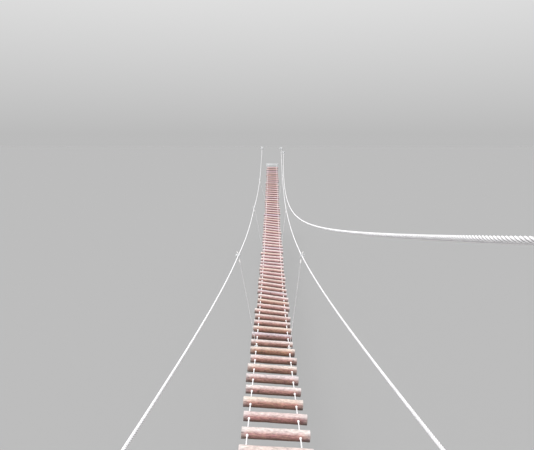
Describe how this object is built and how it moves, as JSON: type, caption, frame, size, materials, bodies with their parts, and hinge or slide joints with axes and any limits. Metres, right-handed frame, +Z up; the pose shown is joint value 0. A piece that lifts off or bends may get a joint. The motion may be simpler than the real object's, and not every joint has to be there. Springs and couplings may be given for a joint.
{
  "type": "rope suspension footbridge",
  "caption": "Narrow footbridge of peeled round logs threaded on two sagging wire ropes, with hand ropes, hangers, a safety line and steel rock anchors.",
  "frame": {"origin": "middle of the flat back of the near deck anchor plate, level with both ends of the deck ropes", "axes": "+Y along the bridge from the near end to the far end, +Z up, +X to the right of someone walking out from the near end"},
  "size_m": [1.1997, 26.4, 3.2845],
  "materials": {
    "peeled_log": "debarked, dry and weathered",
    "wire_rope": "galvanised stranded wire",
    "zinc_steel": "hot-dip galvanised, dull"
  },
  "bodies": {
    "root": {"deck_section_01": "peeled_log", "deck_section_02": "peeled_log", "deck_section_03": "peeled_log", "deck_section_04": "peeled_log", "deck_section_05": "peeled_log", "deck_section_06": "peeled_log", "deck_section_07": "peeled_log", "deck_section_08": "peeled_log", "deck_section_09": "peeled_log", "deck_section_10": "peeled_log", "deck_section_11": "peeled_log", "deck_section_12": "peeled_log", "deck_section_13": "peeled_log", "left_hand_rope_1": "wire_rope", "left_hand_rope_2": "wire_rope", "left_hand_rope_3": "wire_rope", "left_hand_rope_4": "wire_rope", "right_hand_rope_1": "wire_rope", "right_hand_rope_2": "wire_rope", "right_hand_rope_3": "wire_rope", "right_hand_rope_4": "wire_rope", "safety_line_1": "wire_rope", "safety_line_2": "wire_rope", "safety_line_3": "wire_rope", "safety_line_4": "wire_rope", "left_hanger_1": "wire_rope", "left_hanger_2": "wire_rope", "left_hanger_3": "wire_rope", "right_hanger_1": "wire_rope", "right_hanger_2": "wire_rope", "right_hanger_3": "wire_rope", "left_clamp_1": "zinc_steel", "left_clamp_2": "zinc_steel", "left_clamp_3": "zinc_steel", "right_clamp_1": "zinc_steel", "right_clamp_2": "zinc_steel", "right_clamp_3": "zinc_steel", "near_deck_anchor": "zinc_steel", "near_left_rope_anchor": "zinc_steel", "near_right_rope_anchor": "zinc_steel", "near_safety_line_anchor": "zinc_steel", "far_deck_anchor": "zinc_steel", "far_left_rope_anchor": "zinc_steel", "far_right_rope_anchor": "zinc_steel", "far_safety_line_anchor": "zinc_steel"}
  },
  "joints": []
}
